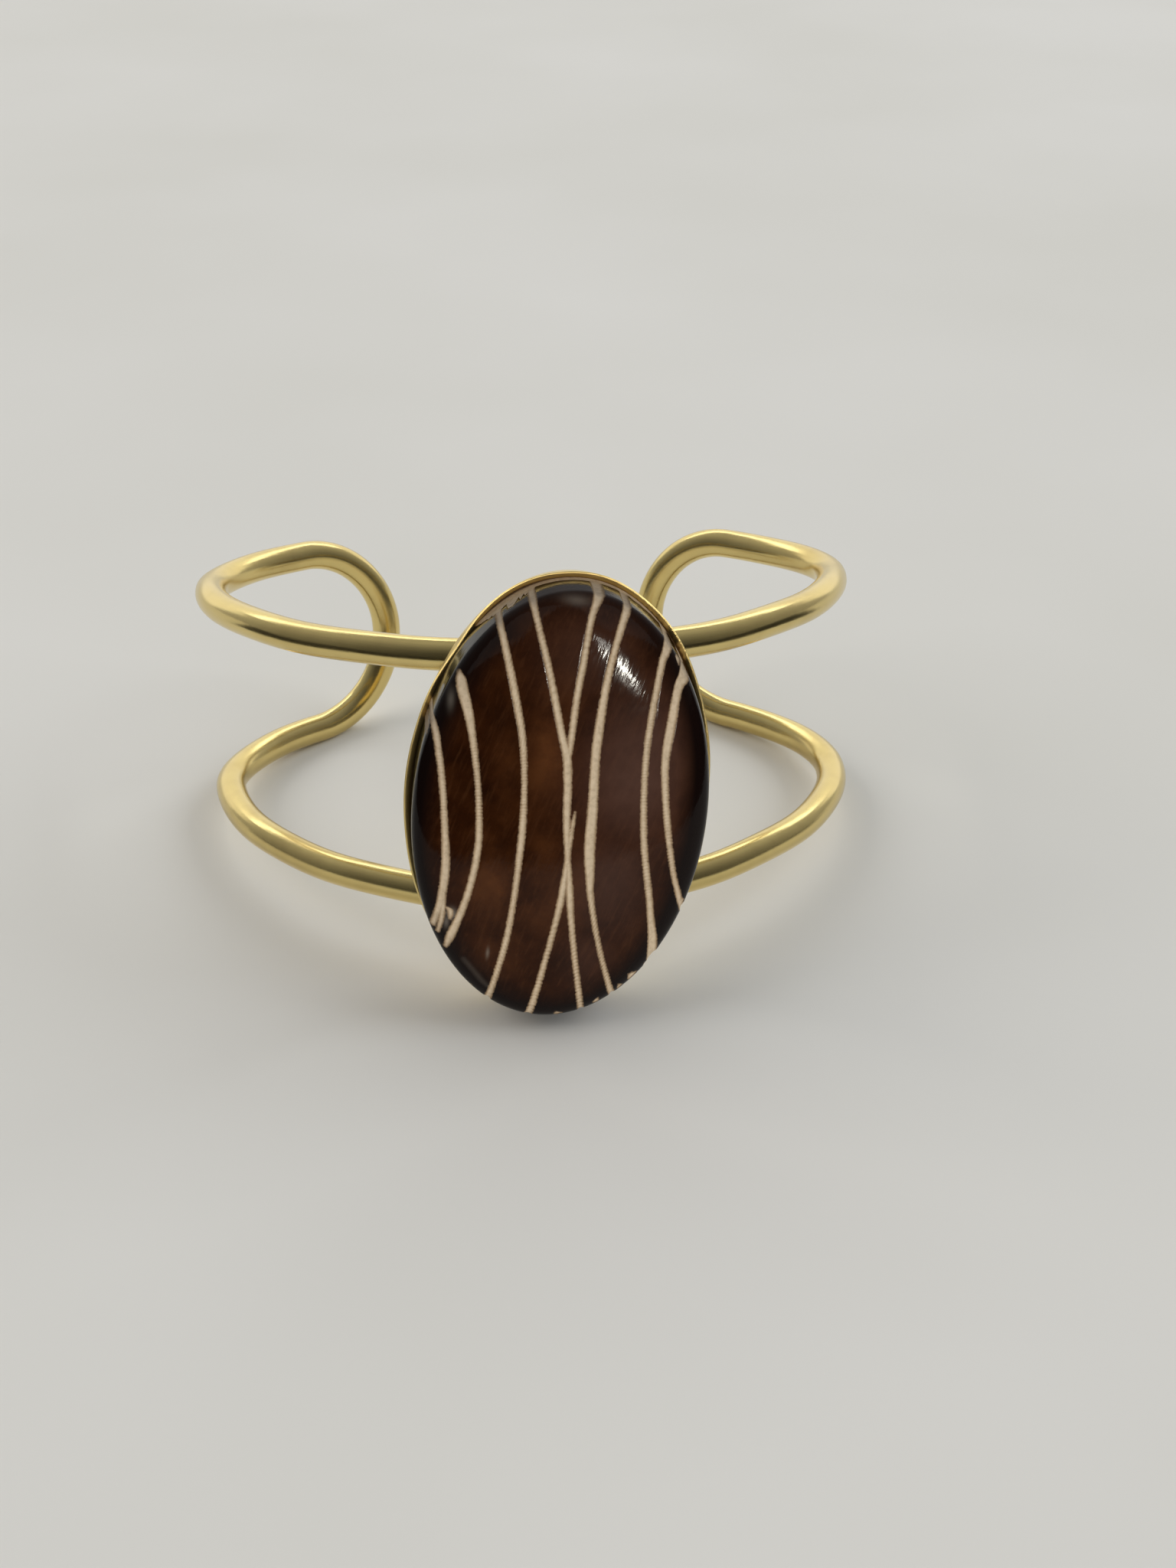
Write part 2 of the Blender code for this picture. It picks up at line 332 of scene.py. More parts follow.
def cup_section(turn):
    """The cup's section, from its back round the strip to its floor, with the dirt and painted shade on
    each row.
    """
    waver = waves_round(turn, SIDE_WAVES)
    nicked = sum(strength * near(turn, degrees, spread) for degrees, spread, strength in NICKS)
    nicks = nicked * np.sin(NICKS_TO_THE_TURN * turn) ** 3
    rim = CUP_DEPTH + waves_round(turn, EDGE_WAVES) - NICK_DEPTH * np.abs(nicks)
    pressed_in = PRESSED_IN * near(turn, PRESSED_IN_AT, PRESSED_IN_SPREAD)
    thick = WALL_THICKNESS + waves_round(turn, THICKNESS_WAVES) + NICK_DEPTH * nicks
    rows, streaks, grimes = [], [], []

    def row(level, inset, grime=0.0):
        share = np.clip((level - PLATE_THICKNESS) / (CUP_DEPTH - PLATE_THICKNESS), 0, 1)
        across, up = oval(turn, level, inset + pressed_in * share ** 1.5 + waver * share)
        level = np.broadcast_to(level, turn.shape)
        rows.append(face_the_front(across, up, level))
        streak = [across * STREAK_STRETCH, up * STREAK_STRETCH + level, inset + 0 * turn]
        streaks.append(np.column_stack(streak))
        grimes.append(grime + 0 * turn)

    # Dirt and painted shade: the seam by the plate, the crown's inner side, the strip's inside and the
    # floor are marked darker, as shade falls there.
    for inset in BACK_INSETS:
        row(0.0, inset)
    row(PLATE_ROUNDING * 0.3, PLATE_ROUNDING * 0.3)
    row(PLATE_ROUNDING, 0.0)
    for share in SIDE_SHARES:
        in_the_seam = 0.25 if share == SIDE_SHARES[0] else 0.0
        row(PLATE_ROUNDING + (rim - EDGE_ROUNDING - PLATE_ROUNDING) * share, 0.0, in_the_seam)
    for degrees in EDGE_DEGREES:
        fallen, drawn = 1 - math.sin(math.radians(degrees)), 1 - math.cos(math.radians(degrees))
        row(rim - EDGE_ROUNDING * fallen, EDGE_ROUNDING * drawn)
    for below, share, back, grime in CROWN_ROWS:
        row(rim - below, thick * share - back, grime)
    for share in INSIDE_SHARES:
        row(PLATE_THICKNESS + (rim - PLATE_THICKNESS) * share, thick, 1.0)
    for inset in FLOOR_INSETS:
        row(PLATE_THICKNESS, thick + inset, 1.0)
    return rows, streaks, grimes


rim_turn = np.linspace(0, 2 * math.pi, RIM_STEPS, endpoint=False)
cup_rows, cup_streaks, cup_grime = cup_section(rim_turn)
back_and_floor = [[face_the_front(0.0, 0.0, 0.0)], [face_the_front(0.0, 0.0, PLATE_THICKNESS)]]
cup_points = np.concatenate(cup_rows + back_and_floor)
cup_faces = []
for i in range(len(cup_rows) - 1):
    here, beyond = i * RIM_STEPS, (i + 1) * RIM_STEPS
    for k in range(RIM_STEPS):
        m = (k + 1) % RIM_STEPS
        cup_faces.append((here + k, here + m, beyond + m, beyond + k))
back_middle = len(cup_rows) * RIM_STEPS
for k in range(RIM_STEPS):
    m = (k + 1) % RIM_STEPS
    cup_faces.append((back_middle, m, k))
    cup_faces.append((back_middle + 1, back_middle - RIM_STEPS + k, back_middle - RIM_STEPS + m))
setting_brass = brass("setting_brass", roughness=0.32, tarnish_lumps=150.0, tarnish_share=0.5,
                      streak_depth=0.35)
setting_cup = lay_down("setting_cup", cup_points, cup_faces, setting_brass,
                       streaks=np.concatenate(cup_streaks + [[[0.0, 0.0, 0.0]] * 2]),
                       grime=np.concatenate(cup_grime + [[0.0, 1.0]]))
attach(setting_cup, "root")
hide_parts("brass_cuff")

# The solder
# Where each wire touches the back of the plate, silver solder has run into the corner on both sides
# and frozen in a shallow hollow curve, a little paler and duller than the brass.
SOLDER_HALF_LENGTH = 0.0056
SOLDER_HALF_WIDTH = 0.0031
SOLDER_HEIGHT = 0.0017
SOLDER_SUNK = 0.00005
SOLDER_TAPER, SOLDER_HOLLOWING = 2.4, 1.7
SOLDER_ROWS, SOLDER_COLUMNS = 41, 25
SOLDER_ROUGHNESS = 0.42
SOLDER_LUMPS, SOLDER_RELIEF = 900.0, 0.0003
SOLDER_SHADES = [(0.35, (0.36, 0.28, 0.13)), (0.65, (0.60, 0.50, 0.27))]
SOLDER_PATH_HEIGHTS = (WIRE_SPACING["front"] / 2, -WIRE_SPACING["front"] / 2)


def solder_points(height):
    """Half of a hollow-sided ridge under one wire: its rounded foot on the plate, rows along the wire."""
    rows = []
    for share in np.linspace(-1, 1, SOLDER_ROWS):
        swell = math.sqrt(max(0.0, 1 - abs(share) ** SOLDER_TAPER)) + 0.02
        lumpy = 1 + 0.10 * math.sin(9 * share + 70 * height) + 0.05 * math.sin(23 * share)
        place = np.linspace(-1, 1, SOLDER_COLUMNS)
        rise = SOLDER_HEIGHT * swell * (1 - np.abs(place)) ** SOLDER_HOLLOWING
        across = SOLDER_HALF_LENGTH * share + 0 * place
        up = height + SOLDER_HALF_WIDTH * swell * lumpy * place
        x = across - LOWER_WIRE_SHIFT / WIRE_SPACING["front"] * height
        rows.append(np.column_stack([x, PLATE_BACK - SOLDER_SUNK + rise, up]))
    return rows


def solder_metal():
    """Pale, dull solder, a little lumpy."""
    material = bpy.data.materials.new("solder")
    material.use_nodes = True
    shader = material.node_tree.nodes["Principled BSDF"]
    shader.inputs["Metallic"].default_value = 1.0
    shader.inputs["Roughness"].default_value = SOLDER_ROUGHNESS
    lumps = clouds(material, marked(material, "as_worn", "Vector"), SOLDER_LUMPS, 4.0)
    links = material.node_tree.links
    links.new(shades(material, lumps, SOLDER_SHADES), shader.inputs["Base Color"])
    links.new(raise_up(material, lumps, 0.35, SOLDER_RELIEF), shader.inputs["Normal"])
    return material


solder_rows, solder_faces = [], []
for height in SOLDER_PATH_HEIGHTS:
    start = sum(len(row) for row in solder_rows)
    solder_rows += solder_points(height)
    for i in range(SOLDER_ROWS - 1):
        here = start + i * SOLDER_COLUMNS
        beyond = here + SOLDER_COLUMNS
        for k in range(SOLDER_COLUMNS - 1):
            solder_faces.append((here + k, here + k + 1, beyond + k + 1, beyond + k))
        solder_faces.append((here, beyond, beyond + SOLDER_COLUMNS - 1, beyond - 1))
    solder_faces.append(tuple(range(start + SOLDER_COLUMNS - 1, start - 1, -1)))
    solder_faces.append(tuple(range(beyond, beyond + SOLDER_COLUMNS)))
solder = lay_down("solder", np.concatenate(solder_rows), solder_faces, solder_metal())
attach(solder, "root")

# The stone
# The real stone is a slice of bone, ground to a tall oval with steep sides and a gentle dome, dyed
# dark brown and polished. Its pale stripes are cut through the dye by hand, so they are shallow,
# matt and ragged, and the dye has chipped off along the edge. It is pressed into the setting.
STONE_GAP = 0.00016
STONE_FOOT = 0.0011
STONE_SHOULDER_LEVEL = 0.0068
STONE_CROWN_LEVEL = 0.0098
STONE_SHOULDER_POWER = 2.9
STONE_GRID = 224
SIDE_RINGS = 24
PROFILE_STEPS = 2000
FOOT_BEVEL, FOOT_SHRINK = 0.0003, 0.98
STRIPE_DEPTH, STRIPE_SIDE, STRIPE_LIP = 0.00014, 0.0003, 0.15
MM = 0.001
# Each stripe's places across and up the face, and its width, in millimetres
STRIPES = {
    "far_left": [(-12.0, 8.55, 0.15), (-11.83, 8.1, 0.48), (-11.55, 7.4, 0.62), (-11.22, 6.4, 0.6),
                 (-10.5, 2.8, 0.58), (-9.95, -1.4, 0.6), (-9.65, -4.2, 0.7), (-9.6, -6.0, 0.74),
                 (-9.7, -7.9, 0.7), (-9.95, -9.6, 0.6), (-10.25, -11.0, 0.55)],
    "far_left_prong": [(-9.55, -7.4, 0.4), (-9.52, -9.3, 0.5), (-9.6, -10.6, 0.45), (-9.75, -11.6, 0.35)],
    "far_left_web": [(-9.2, -9.0, 0.2), (-8.85, -9.3, 0.5), (-8.8, -10.0, 0.3)],
    "far_left_stub": [(-12.08, 7.8, 0.2), (-12.12, 7.1, 0.36), (-12.16, 6.4, 0.15)],
    "left": [(-9.75, 12.3, 0.2), (-9.68, 12.0, 0.55), (-9.57, 11.6, 0.85), (-9.41, 10.9, 0.93),
             (-9.09, 10.0, 0.9), (-8.77, 9.0, 0.8), (-8.25, 6.9, 0.6), (-7.5, 2.9, 0.52),
             (-7.05, -1.2, 0.58), (-7.02, -3.6, 0.6), (-7.25, -5.8, 0.6), (-7.65, -8.1, 0.6),
             (-8.3, -10.6, 0.7), (-8.65, -11.8, 0.75), (-8.95, -13.0, 0.4)],
    "inner_left": [(-7.05, 18.2, 0.9), (-6.8, 16.8, 0.6), (-6.27, 15.2, 0.6), (-5.15, 11.4, 0.65),
                   (-4.15, 7.5, 0.6), (-3.6, 3.4, 0.52), (-3.38, -0.8, 0.62), (-3.4, -3.4, 0.58),
                   (-3.5, -7.2, 0.54), (-3.83, -11.7, 0.6), (-4.6, -16.6, 0.55), (-4.9, -18.6, 0.7)],
    "middle_down": [(-4.7, 20.2, 0.95), (-4.2, 18.8, 0.7), (-3.85, 17.7, 0.55), (-2.45, 13.5, 0.58),
                    (-1.45, 10.0, 0.62), (-0.86, 7.9, 0.62), (-0.25, 6.0, 0.72), (0.05, 3.8, 0.72),
                    (0.25, 1.0, 0.65), (0.45, -1.0, 0.58), (0.68, -2.9, 0.5), (1.0, -4.7, 0.5),
                    (1.27, -6.7, 0.62), (1.63, -9.1, 0.56), (2.48, -13.6, 0.54), (3.7, -19.2, 0.62)],
    "middle_up": [(1.75, 20.8, 1.7), (1.15, 19.3, 0.75), (0.7, 17.7, 0.54), (0.36, 14.0, 0.58),
                  (0.12, 11.5, 0.56), (0.0, 8.0, 0.58), (-0.02, 6.2, 0.4)],
    "middle_branch": [(0.95, 1.0, 0.15), (0.87, -0.4, 0.38), (0.78, -2.5, 0.42), (0.69, -4.7, 0.5),
                      (0.6, -6.7, 0.62), (0.36, -9.1, 0.56), (-0.27, -13.7, 0.55), (-1.05, -19.4, 0.7)],
    "inner_right": [(4.2, 20.0, 1.2), (3.7, 18.7, 0.75), (3.0, 16.0, 0.58), (2.44, 12.1, 0.65),
                    (2.22, 8.0, 0.8), (2.2, 5.8, 0.78), (2.4, 1.9, 0.86), (2.5, -1.4, 0.94),
                    (2.65, -3.4, 0.9), (2.85, -4.9, 0.75), (3.1, -6.8, 0.58), (4.2, -11.2, 0.5),
                    (5.9, -16.2, 0.56), (6.6, -17.8, 0.66)],
    "right": [(7.8, 16.4, 1.2), (7.3, 15.2, 0.75), (7.0, 14.2, 0.6), (6.62, 10.3, 0.6), (6.5, 6.4, 0.57),
              (6.77, 2.1, 0.57), (7.31, -2.2, 0.6), (8.27, -6.7, 0.6), (8.7, -9.0, 0.62),
              (9.15, -11.2, 0.85), (9.5, -14.2, 1.0)],
    "far_right": [(9.2, 14.2, 0.8), (9.15, 13.2, 1.15), (8.65, 12.2, 0.8), (8.3, 8.3, 0.82),
                  (8.22, 6.3, 0.7), (8.38, 4.2, 0.64), (9.1, 0.0, 0.6), (10.1, -4.2, 0.5),
                  (10.95, -6.7, 0.52), (11.6, -8.4, 0.56)],
}
# Each chip's place round the stone in degrees, and its level, half width and half height in millimetres
CHIPS = [(-23, 8.1, 0.30, 0.22), (-41, 8.0, 0.50, 0.45), (-45, 7.6, 0.40, 0.35), (-51.5, 8.0, 0.50, 0.32),
         (-57, 8.0, 0.28, 0.2), (-67, 8.0, 0.3, 0.22), (-83, 7.9, 0.34, 0.2), (-95, 7.7, 0.4, 0.26),
         (-103, 7.3, 0.25, 0.2), (-120, 7.6, 0.2, 0.12), (48, 7.5, 0.35, 0.4), (56, 6.6, 0.6, 0.3)]
# How far the bare bone shows above the strip, in millimetres, at places round the stone
BARE_EDGE_DEGREES = (50, 58, 66, 72, 80, 92, 100, 107, 111, 116, 121, 125, 129, 133)
BARE_EDGE_HEIGHT = (-0.5, 0.45, 0.7, 0.45, 0.4, 0.5, 0.45, 0.6, 1.3, 2.1, 1.9, 1.5, 0.6, -0.5)
# Ragged teeth along the bare edge: where, how far they spread, and how many there are to the radian
TEETH_AT, TEETH_SPREAD = 117, 8
TEETH_PER_RADIAN, TEETH_WAVER_PER_RADIAN = 17, 29
TEETH_HEIGHT, TEETH_LEVEL = 0.0016, 0.6
# Soft patches: across and up, half width and half height in millimetres, and strength
THIN_DYE_PATCHES = [(-5.4, -6.4, 2.0, 3.2, 0.7), (-0.8, -8.4, 2.0, 2.0, 0.5), (-1.8, 6.5, 1.8, 5.0, 0.75),
                    (-1.5, -3.5, 1.4, 4.0, 0.35), (-4.5, -13.0, 2.2, 2.4, 0.35),
                    (-5.2, 5.0, 1.2, 5.0, 0.25), (1.8, -5.0, 1.2, 4.0, 0.5), (10.3, 6.0, 1.0, 4.0, 0.3)]
# Painted sheen: purple-brown patches standing in for the room's soft reflection on the dome, strongest at
# the upper right.
PAINTED_SHEEN_PATCHES = [(6.0, 5.0, 4.5, 6.5, 1.0), (4.6, -5.2, 3.5, 5.5, 0.55), (1.0, 15.0, 4.5, 4.0, 0.35),
                (3.5, -12.8, 2.5, 3.5, 0.35)]
SMEAR_PATCHES = [(-10.3, 9.9, 0.28, 0.8, 0.30), (-0.6, 19.2, 1.1, 0.35, 0.30),
                 (-5.3, -13.0, 0.14, 0.5, 0.4), (-8.75, -9.5, 0.40, 0.50, 0.7),
                 (-9.1, -10.4, 0.22, 0.6, 0.4)]
# A painted reflection: a pale streak at the lower left standing in for a reflection on the dome; across, up
# and width in millimetres
PAINTED_STREAK = [(-7.3, -14.0, 0.25), (-6.4, -15.0, 0.3), (-5.6, -15.95, 0.3), (-4.8, -16.7, 0.15)]
PAINTED_STREAK_SOFTNESS, PAINTED_STREAK_STRENGTH = 0.0004, 0.12
# Painted shade: the stone is darkened toward its edge, standing in for shade and dark reflections on its
# steep sides.
# Where that starts, how far it shifts at the top and the right, over what share of the stone it darkens,
# and how much weaker it is at the top
EDGE_SHADE_START, EDGE_SHADE_SHIFT, EDGE_SHADE_SHARE, EDGE_SHADE_TOP_LOSS = 0.81, 0.07, 0.13, 0.6
# The colours of the dye by its mottle, from deep to thin, of its fibres, of the painted sheen and painted
# edge shade, of the pale smears and painted streak, and of the bare bone and its painted groove shade
DARK_DYE = [(0.30, (0.012, 0.0034, 0.0012)), (0.52, (0.025, 0.0070, 0.0020)),
            (0.72, (0.040, 0.0125, 0.0035))]
WARM_DYE = [(0.35, (0.055, 0.018, 0.007)), (0.60, (0.110, 0.038, 0.012))]
FIBRE_BROWN = (0.070, 0.026, 0.010)
PAINTED_SHEEN_BROWN = (0.090, 0.046, 0.035)
EDGE_SHADE_BLACK = (0.006, 0.003, 0.0025)
SMEARS_AND_PAINTED_STREAK_PALE = (0.30, 0.26, 0.22)
BARE_BONE = [(0.25, (0.48, 0.375, 0.26)), (0.48, (0.62, 0.495, 0.355)), (0.75, (0.70, 0.575, 0.43))]
# Painted shade on the stripes: the bare bone darker toward a groove's edge.
PAINTED_GROOVE_SHADES = [(0.03, (0.60, 0.52, 0.44)), (0.20, (1.0, 1.0, 1.0))]
POLISH, POLISH_UNEVEN, BARE_DULL = 0.03, 0.10, 0.50
STONE_SHINE = 0.10
# Lumps to the metre of the bone's mottle, fibres, bare grain, frayed edges, polish, waves and strokes
MOTTLE_LUMPS, FIBRE_LUMPS, GRAIN_LUMPS, FRAY_LUMPS = 260.0, 2600.0, 2200.0, 3200.0
POLISH_LUMPS, WAVE_LUMPS, STROKE_LUMPS = 900.0, 420.0, 4200.0
# The fibres lean this much, in radians, and are this many times as long as wide
FIBRE_LEAN, FIBRE_STRETCH = 0.40, 7.0
# How far an edge frays, and how far inside it the bone is first seen and then quite bare
FRAY_REACH, BARE_FROM, BARE_TO = 0.00022, 0.00003, 0.00018
NEAREST_MARKS = 6


def smooth_route(rows, steps=14):
    """Rows of numbers joined by a smooth curve through each of them."""
    rows = np.array(rows, dtype=float)
    before = np.vstack([2 * rows[0] - rows[1], rows, 2 * rows[-1] - rows[-2]])
    found = []
    for i in range(len(rows) - 1):
        a, b, c, d = before[i:i + 4]
        for share in np.linspace(0, 1, steps, endpoint=False):
            found.append(0.5 * (2 * b + (c - a) * share + (2 * a - 5 * b + 4 * c - d) * share ** 2
                                + (3 * b - a - 3 * c + d) * share ** 3))
    return np.array(found + [rows[-1]])


def depth_into_stripes(plan, stripes):
    """How far each place of the plan lies inside the nearest stripe's edge; outside it is negative."""
    marks = np.concatenate([smooth_route(rows) for rows in stripes]) * MM
    tree = KDTree(len(marks))
    for i, (across, up, _) in enumerate(marks):
        tree.insert((across, up, 0.0), i)
    tree.balance()
    found = np.empty(len(plan))
    for i, (across, up) in enumerate(plan):
        closest = tree.find_n((across, up, 0.0), NEAREST_MARKS)
        found[i] = max(marks[k][2] / 2 - far for _, k, far in closest)
    return found


def soft_patches(plan, patches):
    """The strength of some soft patches at each place of the plan."""
    found = np.zeros(len(plan))
    for across, up, half_width, half_height, strength in patches:
        away = ((plan[:, 0] / MM - across) / half_width) ** 2 + ((plan[:, 1] / MM - up) / half_height) ** 2
        found = np.maximum(found, strength * np.exp(-away))
    return found


def square_to_disc(size):
    """A square grid drawn into a disc of radius 1, with cells of much the same area."""
    side = np.linspace(-1, 1, size + 1)
    u, v = np.meshgrid(side, side)
    wide = np.abs(u) > np.abs(v)
    radius = np.where(wide, u, v)
    with np.errstate(divide="ignore", invalid="ignore"):
        turn = np.where(wide, math.pi / 4 * v / u, math.pi / 2 - math.pi / 4 * u / v)
    turn = np.nan_to_num(turn)
    return radius * np.cos(turn), radius * np.sin(turn)


stone_half_width = RIM_WIDTH / 2 - WALL_THICKNESS - STONE_GAP
stone_half_height = RIM_HEIGHT / 2 - WALL_THICKNESS - STONE_GAP
dome = STONE_CROWN_LEVEL - STONE_SHOULDER_LEVEL
profile_turn = np.linspace(math.pi / 2, 0, PROFILE_STEPS)
profile_out = np.cos(profile_turn) ** (2 / STONE_SHOULDER_POWER)
profile_up = np.sin(profile_turn) ** (2 / STONE_SHOULDER_POWER)
walked = np.cumsum(np.hypot(np.diff(profile_out) * stone_half_width, np.diff(profile_up) * dome))
walked = np.concatenate([[0], walked / walked[-1]])
disc_x, disc_y = square_to_disc(STONE_GRID)
disc_radius = np.hypot(disc_x, disc_y)
stretch = np.interp(disc_radius, walked, profile_out)
stretch = np.divide(stretch, disc_radius, out=np.ones_like(stretch), where=disc_radius > 0)
across = (disc_x * stretch * stone_half_width).ravel()
up = (disc_y * stretch * stone_half_height).ravel()
out = (STONE_SHOULDER_LEVEL + dome * np.interp(disc_radius, walked, profile_up)).ravel()

index = np.arange((STONE_GRID + 1) ** 2).reshape(STONE_GRID + 1, STONE_GRID + 1)
stone_faces = []
for i in range(STONE_GRID):
    for j in range(STONE_GRID):
        stone_faces.append((index[i, j], index[i, j + 1], index[i + 1, j + 1], index[i + 1, j]))
edge = np.concatenate([index[0, :-1], index[:-1, -1], index[-1, :0:-1], index[:0:-1, 0]])
edge_across, edge_up = across[edge], up[edge]
last_ring = edge
for level in [*np.linspace(STONE_SHOULDER_LEVEL, STONE_FOOT + FOOT_BEVEL, SIDE_RINGS)[1:], STONE_FOOT]:
    shrink = 1.0 if level > STONE_FOOT else FOOT_SHRINK
    ring = len(across) + np.arange(len(edge))
    across = np.concatenate([across, edge_across * shrink])
    up = np.concatenate([up, edge_up * shrink])
    out = np.concatenate([out, np.full(len(edge), level)])
    for k in range(len(edge)):
        m = (k + 1) % len(edge)
        stone_faces.append((last_ring[k], ring[k], ring[m], last_ring[m]))
    last_ring = ring
stone_faces.append(tuple(last_ring[::-1]))
stone_faces = [tuple(int(corner) for corner in face) for face in stone_faces]

plan = np.column_stack([across, up])
stone_turn = np.arctan2(up / stone_half_height, across / stone_half_width)
bare_edge = np.interp(np.degrees(stone_turn), BARE_EDGE_DEGREES, BARE_EDGE_HEIGHT) * MM
teeth = (stone_turn * TEETH_PER_RADIAN + 0.5 * np.sin(stone_turn * TEETH_WAVER_PER_RADIAN)) % 1.0
bare_edge += TEETH_HEIGHT * near(stone_turn, TEETH_AT, TEETH_SPREAD) * (teeth - TEETH_LEVEL)
undyed = np.maximum(depth_into_stripes(plan, STRIPES.values()), CUP_DEPTH + bare_edge - out)
for degrees, level, half_width, half_height in CHIPS:
    per_radian = math.hypot(stone_half_width * math.sin(math.radians(degrees)),
                            stone_half_height * math.cos(math.radians(degrees)))
    aside = (np.degrees(stone_turn) - degrees + 180) % 360 - 180
    along = aside * math.pi / 180 * per_radian / (half_width * MM)
    above = (out - level * MM) / (half_height * MM)
    way = np.arctan2(above, along)
    ragged = 1 + 0.15 * np.sin(3 * way + degrees) + 0.07 * np.sin(7 * way + 2 * degrees)
    away = np.hypot(along, above) * ragged
    undyed = np.maximum(undyed, (1 - away) * min(half_width, half_height) * MM)
toward_edge = np.hypot(across / stone_half_width, up / stone_half_height)
rise = np.clip((out - STONE_SHOULDER_LEVEL) / dome, 0, 1)
outward = np.column_stack([toward_edge ** (STONE_SHOULDER_POWER - 2) * across / stone_half_width ** 2,
                           toward_edge ** (STONE_SHOULDER_POWER - 2) * up / stone_half_height ** 2,
                           rise ** (STONE_SHOULDER_POWER - 1) / dome])
outward /= np.linalg.norm(outward, axis=1)[:, None]
carved = STRIPE_DEPTH * np.clip(undyed / STRIPE_SIDE + STRIPE_LIP, 0, 1) * (out > CUP_DEPTH)
face = np.column_stack([across, up, out]) - outward * carved[:, None]


def dyed_bone():
    """Dark dyed and polished bone, bare and matt where the dye is cut through or chipped, with a painted
    sheen, painted shade toward the edge and in the stripes, and a painted reflection streak.
    """
    material = bpy.data.materials.new("dyed_bone")
    material.use_nodes = True
    shader = material.node_tree.nodes["Principled BSDF"]
    links = material.node_tree.links
    where = marked(material, "as_worn", "Vector")
    leaning = add_node(material, "ShaderNodeMapping", {"vector_type": "TEXTURE"}, Vector=where,
                       Rotation=(0.0, FIBRE_LEAN, 0.0), Scale=(1.0, 1.0, FIBRE_STRETCH)).outputs[0]
    fray = clouds(material, where, FRAY_LUMPS, 4.0, 0.6)
    frayed = reckon(material, "MULTIPLY_ADD", fray, FRAY_REACH, marked(material, "undyed"))
    bare = add_node(material, "ShaderNodeMapRange", i0=frayed, i1=BARE_FROM, i2=BARE_TO).outputs[0]
    mottle = clouds(material, where, MOTTLE_LUMPS, 5.0, 0.62)
    fibres = clouds(material, leaning, FIBRE_LUMPS, 4.0, 0.6)
    dark = shades(material, mottle, DARK_DYE)
    warm = shades(material, mottle, WARM_DYE)
    dark = blend_colours(material, marked(material, "thin_dye"), dark, warm)
    dark = blend_colours(material, shades(material, fibres, [(0.50, 0.0), (0.78, 0.5)]), dark, FIBRE_BROWN)
    uneven = shades(material, mottle, [(0.25, 0.6), (0.7, 1.0)])
    # Painted sheen: a purple-brown veil standing in for a soft reflection on the dome.
    haze = reckon(material, "MULTIPLY", marked(material, "haze"), uneven)
    dark = blend_colours(material, haze, dark, PAINTED_SHEEN_BROWN)
    # Painted shade: nearly black toward the stone's edge, standing in for shade on its steep sides.
    dark = blend_colours(material, marked(material, "rim_shade"), dark, EDGE_SHADE_BLACK)
    # Pale smears of thin dye, and a painted reflection streak near the lower left edge.
    dark = blend_colours(material, marked(material, "smeared"), dark, SMEARS_AND_PAINTED_STREAK_PALE)
    pale = shades(material, clouds(material, where, GRAIN_LUMPS, 4.0, 0.6), BARE_BONE)
    # Painted shade: bare bone darker toward each stripe's edge, as if the groove's sides were shaded.
    millimetres_in = reckon(material, "MULTIPLY", marked(material, "undyed"), 1 / MM)
    painted_groove_shade = shades(material, millimetres_in, PAINTED_GROOVE_SHADES)
    pale = blend_colours(material, 1.0, pale, painted_groove_shade, "MULTIPLY")
    links.new(blend_colours(material, bare, dark, pale), shader.inputs["Base Color"])
    smears = clouds(material, where, POLISH_LUMPS, 4.0)
    polish = reckon(material, "MULTIPLY_ADD", smears, POLISH_UNEVEN, POLISH)
    links.new(reckon(material, "MULTIPLY_ADD", bare, BARE_DULL, polish), shader.inputs["Roughness"])
    shader.inputs["Specular IOR Level"].default_value = STONE_SHINE
    strokes = clouds(material, leaning, STROKE_LUMPS, 2.0)
    relief = raise_up(material, clouds(material, where, WAVE_LUMPS, 2.0), 0.05, 0.0003)
    relief = raise_up(material, strokes, 0.16, 0.00005, relief)
    crumb = reckon(material, "MULTIPLY", fray, bare)
    links.new(raise_up(material, crumb, 0.3, 0.0001, relief), shader.inputs["Normal"])
    return material


# Painted edge shade: darker toward the stone's edge, weaker at the top, starting sooner at the right.
edge_shade_start = EDGE_SHADE_START + EDGE_SHADE_SHIFT * (near(stone_turn, 90, 35) - near(stone_turn, -10, 35))
painted_edge_shade = np.clip((toward_edge - edge_shade_start) / EDGE_SHADE_SHARE, 0, 1)
painted_edge_shade *= 1 - EDGE_SHADE_TOP_LOSS * near(stone_turn, 90, 32)
# Painted reflection: a pale streak near the lower left edge of the dome.
into_painted_streak = depth_into_stripes(plan, [PAINTED_STREAK])
painted_streak = np.clip(into_painted_streak / PAINTED_STREAK_SOFTNESS + 0.6, 0, 1) * PAINTED_STREAK_STRENGTH
polished_stone = lay_down("polished_stone", face_the_front(face[:, 0], face[:, 1], face[:, 2]), stone_faces,
                          dyed_bone(), undyed=undyed, thin_dye=soft_patches(plan, THIN_DYE_PATCHES),
                          haze=soft_patches(plan, PAINTED_SHEEN_PATCHES), rim_shade=painted_edge_shade,
                          smeared=np.maximum(soft_patches(plan, SMEAR_PATCHES), painted_streak))
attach(polished_stone, "root")
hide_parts("bone_stone")

# The table
# The cuff lies loose on a plain round table top of off-white painted board, matt, faintly clouded,
# and wider than the picture.
TABLE_REACH = 1.0
TABLE_SIDES = 128
TABLE_SHADES = [(0.35, (0.76, 0.75, 0.71)), (0.65, (0.80, 0.79, 0.76))]
TABLE_LUMPS = 9.0


